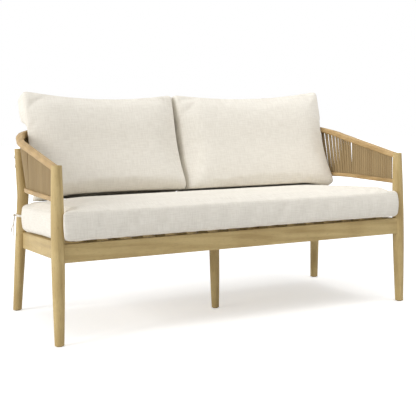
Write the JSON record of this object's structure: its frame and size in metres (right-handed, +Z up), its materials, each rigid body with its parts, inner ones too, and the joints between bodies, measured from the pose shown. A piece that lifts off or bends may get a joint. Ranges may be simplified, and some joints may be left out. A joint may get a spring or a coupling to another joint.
{
  "type": "patio loveseat",
  "caption": "Patio loveseat with turned tapering wooden legs, slim rounded arm and back rail, woven rope back and sides, a seat cushion tied to the legs and loose back cushions.",
  "frame": {"origin": "on the floor, under the middle of the seat's outline in plan", "axes": "+X to the right when the seat is looked at from its front, -Y to the front, +Z up"},
  "size_m": [1.4372, 0.7057, 0.8533],
  "materials": {
    "frame_wood": "satin",
    "rope": "matte",
    "cushion_cover": "matte",
    "tie_tape": "matte",
    "upright_steel": "satin",
    "fasteners": "satin",
    "glides": "matte"
  },
  "bodies": {
    "frame": {"arm_dowels": "frame_wood", "back_lower_rail": "frame_wood", "back_strands": "rope", "back_top_rail": "frame_wood", "centre_leg": "frame_wood", "centre_stretcher": "frame_wood", "foot_glides": "glides", "frame_dowels": "frame_wood", "front_cleat": "frame_wood", "front_rail": "frame_wood", "left_arm_rail": "frame_wood", "left_arm_strands": "rope", "left_back_upright": "upright_steel", "left_corner_strands": "rope", "left_corner_upright": "upright_steel", "left_front_corner_block": "frame_wood", "left_front_post": "frame_wood", "left_lower_rail": "frame_wood", "left_rear_corner_block": "frame_wood", "left_rear_post": "frame_wood", "left_side_rail": "frame_wood", "left_tie_knot": "tie_tape", "left_tie_long_tail": "tie_tape", "left_tie_short_tail": "tie_tape", "left_tie_strap": "tie_tape", "post_bolts": "fasteners", "post_nuts": "fasteners", "post_spacers": "fasteners", "rail_dowels": "frame_wood", "rail_screws": "fasteners", "rear_cleat": "frame_wood", "rear_rail": "frame_wood", "right_arm_rail": "frame_wood", "right_arm_strands": "rope", "right_back_upright": "upright_steel", "right_corner_strands": "rope", "right_corner_upright": "upright_steel", "right_front_corner_block": "frame_wood", "right_front_post": "frame_wood", "right_lower_rail": "frame_wood", "right_rear_corner_block": "frame_wood", "right_rear_post": "frame_wood", "right_side_rail": "frame_wood", "right_tie_knot": "tie_tape", "right_tie_long_tail": "tie_tape", "right_tie_short_tail": "tie_tape", "right_tie_strap": "tie_tape", "seat_cushion": "cushion_cover", "seat_slats": "frame_wood"},
    "left_back_cushion": {"left_back_cushion": "cushion_cover"},
    "right_back_cushion": {"right_back_cushion": "cushion_cover"}
  },
  "joints": [
    {"name": "left_back_cushion_lift", "type": "slide", "parent": "frame", "child": "left_back_cushion", "axis": [0, 0, 1], "range_m": [0, 0.45]},
    {"name": "right_back_cushion_lift", "type": "slide", "parent": "frame", "child": "right_back_cushion", "axis": [0, 0, 1], "range_m": [0, 0.45]}
  ]
}
